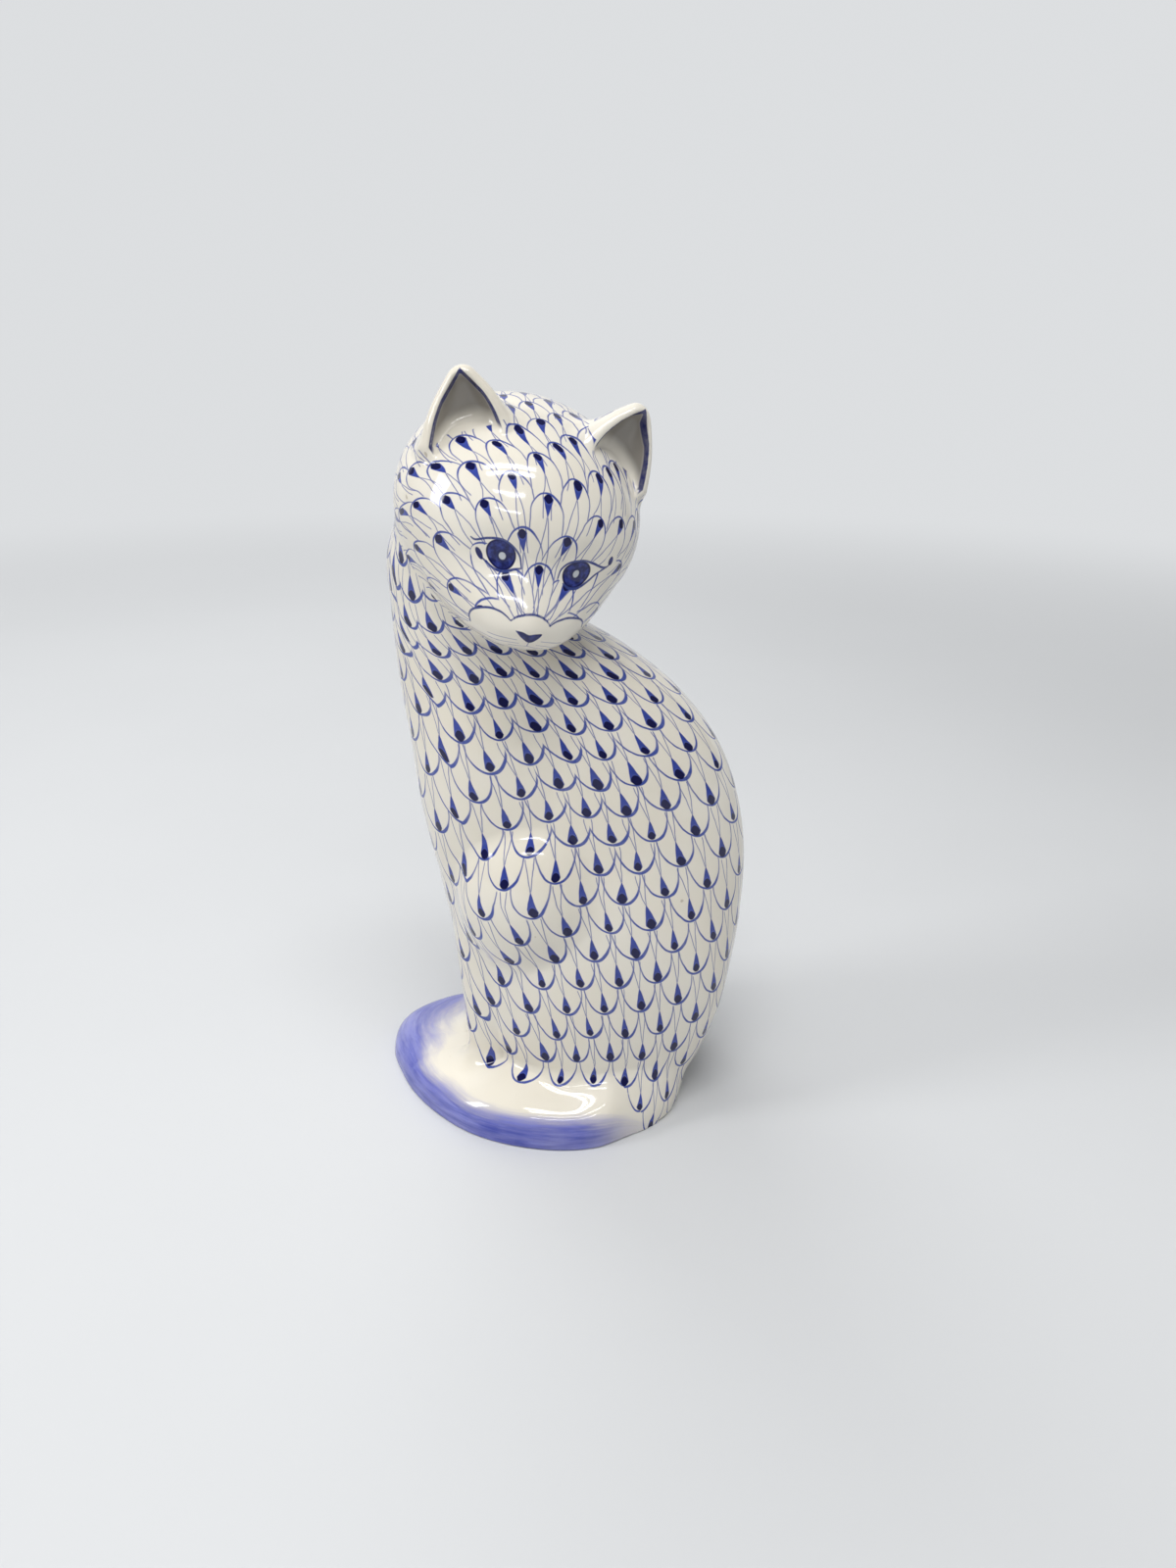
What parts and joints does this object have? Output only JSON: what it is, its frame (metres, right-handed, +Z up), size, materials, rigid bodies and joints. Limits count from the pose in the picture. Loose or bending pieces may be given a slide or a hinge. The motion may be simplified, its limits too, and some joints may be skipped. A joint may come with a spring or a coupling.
{
  "type": "cat figurine",
  "caption": "Seated glazed porcelain cat figurine with a hollow body, tilted head, upright ears and a tail wrapped round the foot.",
  "frame": {"origin": "on the resting plane, under the middle of the body, at the centre of the closing plate's underside", "axes": "+Z up; the chest faces -Y and the back +Y; the cat's left flank, to which the head is turned, faces +X"},
  "size_m": [0.0976, 0.1312, 0.2562],
  "materials": {
    "body_glaze": "clear gloss glaze over white porcelain, painted with a cobalt blue scale net",
    "head_glaze": "clear gloss glaze over white porcelain, painted with a cobalt blue scale net, eyes, nose and muzzle line",
    "ear_glaze": "clear gloss glaze over white porcelain, rims lined in cobalt blue",
    "tail_glaze": "clear gloss glaze over a brushed pale cobalt wash",
    "biscuit": "unglazed biscuit porcelain, matt"
  },
  "bodies": {
    "root": {"torso_casting": "body_glaze", "head_casting": "head_glaze", "ear_left": "ear_glaze", "ear_right": "ear_glaze", "tail_casting": "tail_glaze", "base_plate": "biscuit"}
  },
  "joints": []
}
